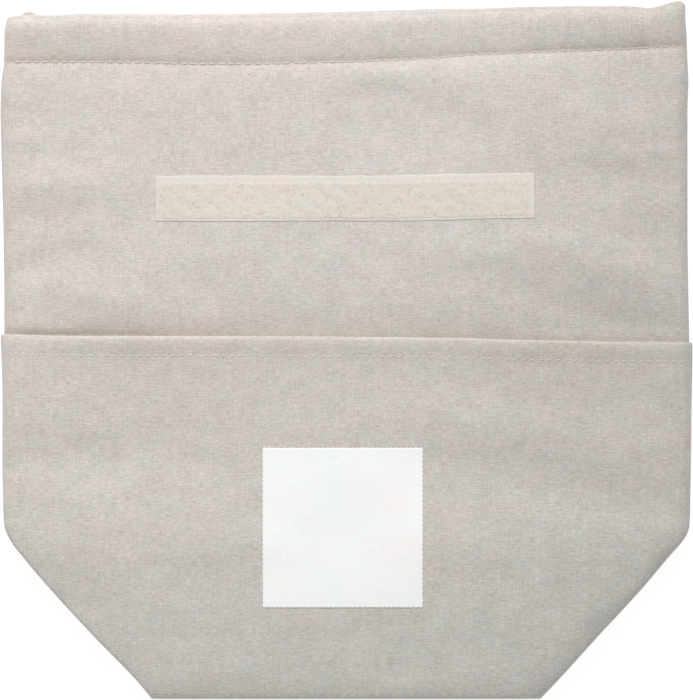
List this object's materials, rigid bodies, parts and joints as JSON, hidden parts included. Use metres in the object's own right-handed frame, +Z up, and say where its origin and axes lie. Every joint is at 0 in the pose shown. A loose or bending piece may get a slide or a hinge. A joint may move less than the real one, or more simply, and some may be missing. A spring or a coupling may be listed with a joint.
{
  "type": "cooler bag",
  "caption": "Padded cotton cooler bag lying flat, its boxed base folded behind, with a hemmed mouth, front slip pocket, closing strip and blank patch.",
  "frame": {"origin": "middle of the bag's footprint, on the floor that it lies on", "axes": "+X across the bag to the right as its front is seen, +Y up the bag towards the mouth, +Z up out of the front face"},
  "size_m": [0.2996, 0.3024, 0.0287],
  "materials": {
    "padded_cotton": "natural undyed plain-weave cotton over thin foam, matt",
    "pocket_cotton": "natural undyed plain-weave cotton with slubs, matt",
    "loop_tape": "cream loop pile with flat woven selvedges, matt",
    "patch_cloth": "white close-woven cloth with a pinked edge, matt"
  },
  "bodies": {
    "root": {"body": "padded_cotton", "front_pocket": "pocket_cotton", "closure_tape": "loop_tape", "blank_patch": "patch_cloth"}
  },
  "joints": []
}
